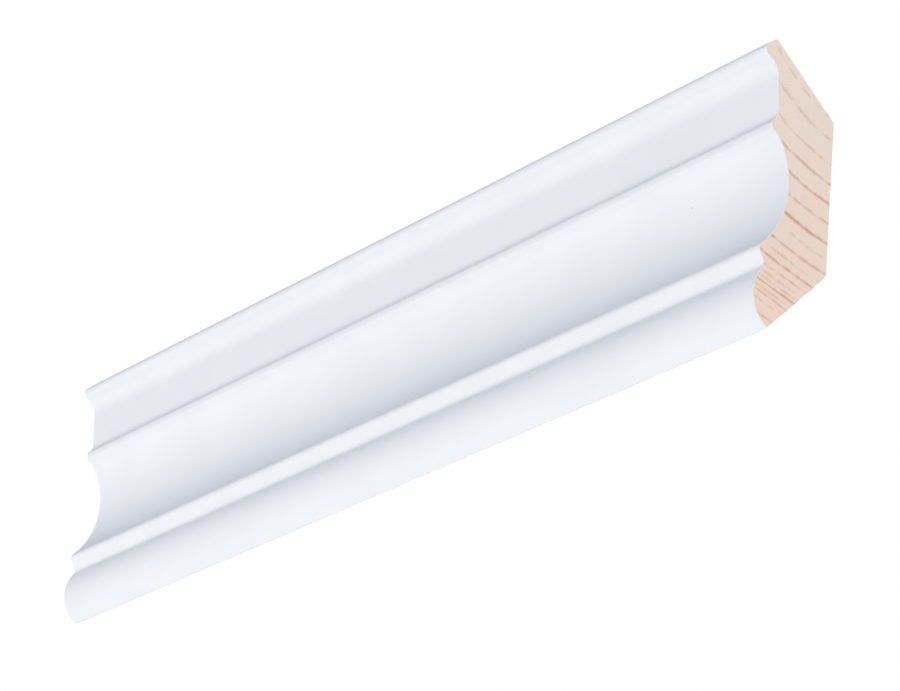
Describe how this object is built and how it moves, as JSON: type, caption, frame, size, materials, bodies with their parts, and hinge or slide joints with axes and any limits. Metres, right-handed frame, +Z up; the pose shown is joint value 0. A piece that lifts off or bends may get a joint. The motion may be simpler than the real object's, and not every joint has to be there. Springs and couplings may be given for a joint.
{
  "type": "crown moulding length",
  "caption": "Primed softwood crown moulding length with a lip, flat band, stepped cove, fillet and rounded nose; two square bearing faces close the corner of a wall and a ceiling.",
  "frame": {"origin": "centre of the flat face that bears on the wall, halfway along the length", "axes": "as it hangs in a room: +X along the length, +Y into the wall, +Z up to the ceiling; the moulded face looks down and out, towards -Y and -Z"},
  "size_m": [0.27, 0.0415, 0.0412],
  "materials": {
    "primed_pine": "matte"
  },
  "bodies": {
    "root": {"crown_moulding": "primed_pine"}
  },
  "joints": []
}
